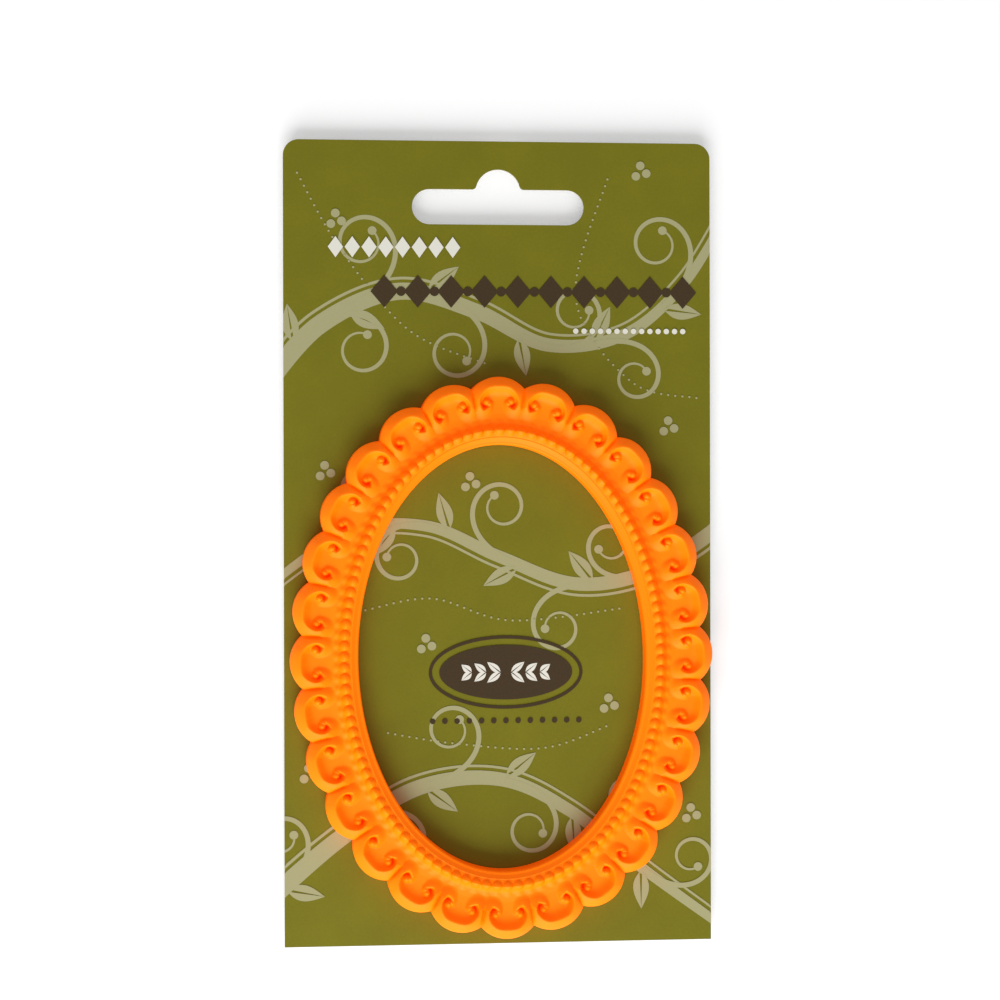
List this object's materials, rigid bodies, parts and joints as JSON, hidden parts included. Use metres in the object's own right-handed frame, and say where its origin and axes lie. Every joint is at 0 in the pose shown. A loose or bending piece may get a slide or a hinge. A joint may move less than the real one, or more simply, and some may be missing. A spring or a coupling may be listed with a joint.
{
  "type": "magnetic photo frame",
  "caption": "Oval magnetic photo frame with a scalloped, beaded scroll moulding, stuck to the printed hang card it is sold on.",
  "frame": {"origin": "middle of the hang card's back face, on the surface that the card lies on", "axes": "+X across the card to the right, +Y up the card towards the hang slot, +Z out of the printed face"},
  "size_m": [0.077, 0.144, 0.0065],
  "materials": {
    "card": "printed paperboard, matt",
    "moulding": "satin, as moulded",
    "magnet": "bright nickel plate",
    "tape": "matt double-sided tape"
  },
  "bodies": {
    "card": {"hang_card": "card", "tape_pad_upper_right": "tape", "tape_pad_lower_right": "tape", "tape_pad_lower_left": "tape", "tape_pad_upper_left": "tape"},
    "frame": {"scroll_frame": "moulding", "magnet_upper_right": "magnet", "magnet_lower_right": "magnet", "magnet_lower_left": "magnet", "magnet_upper_left": "magnet"}
  },
  "joints": [
    {"name": "frame_lift", "type": "slide", "parent": "card", "child": "frame", "axis": [0, 0, 1], "range_m": [0, 0.03]}
  ]
}
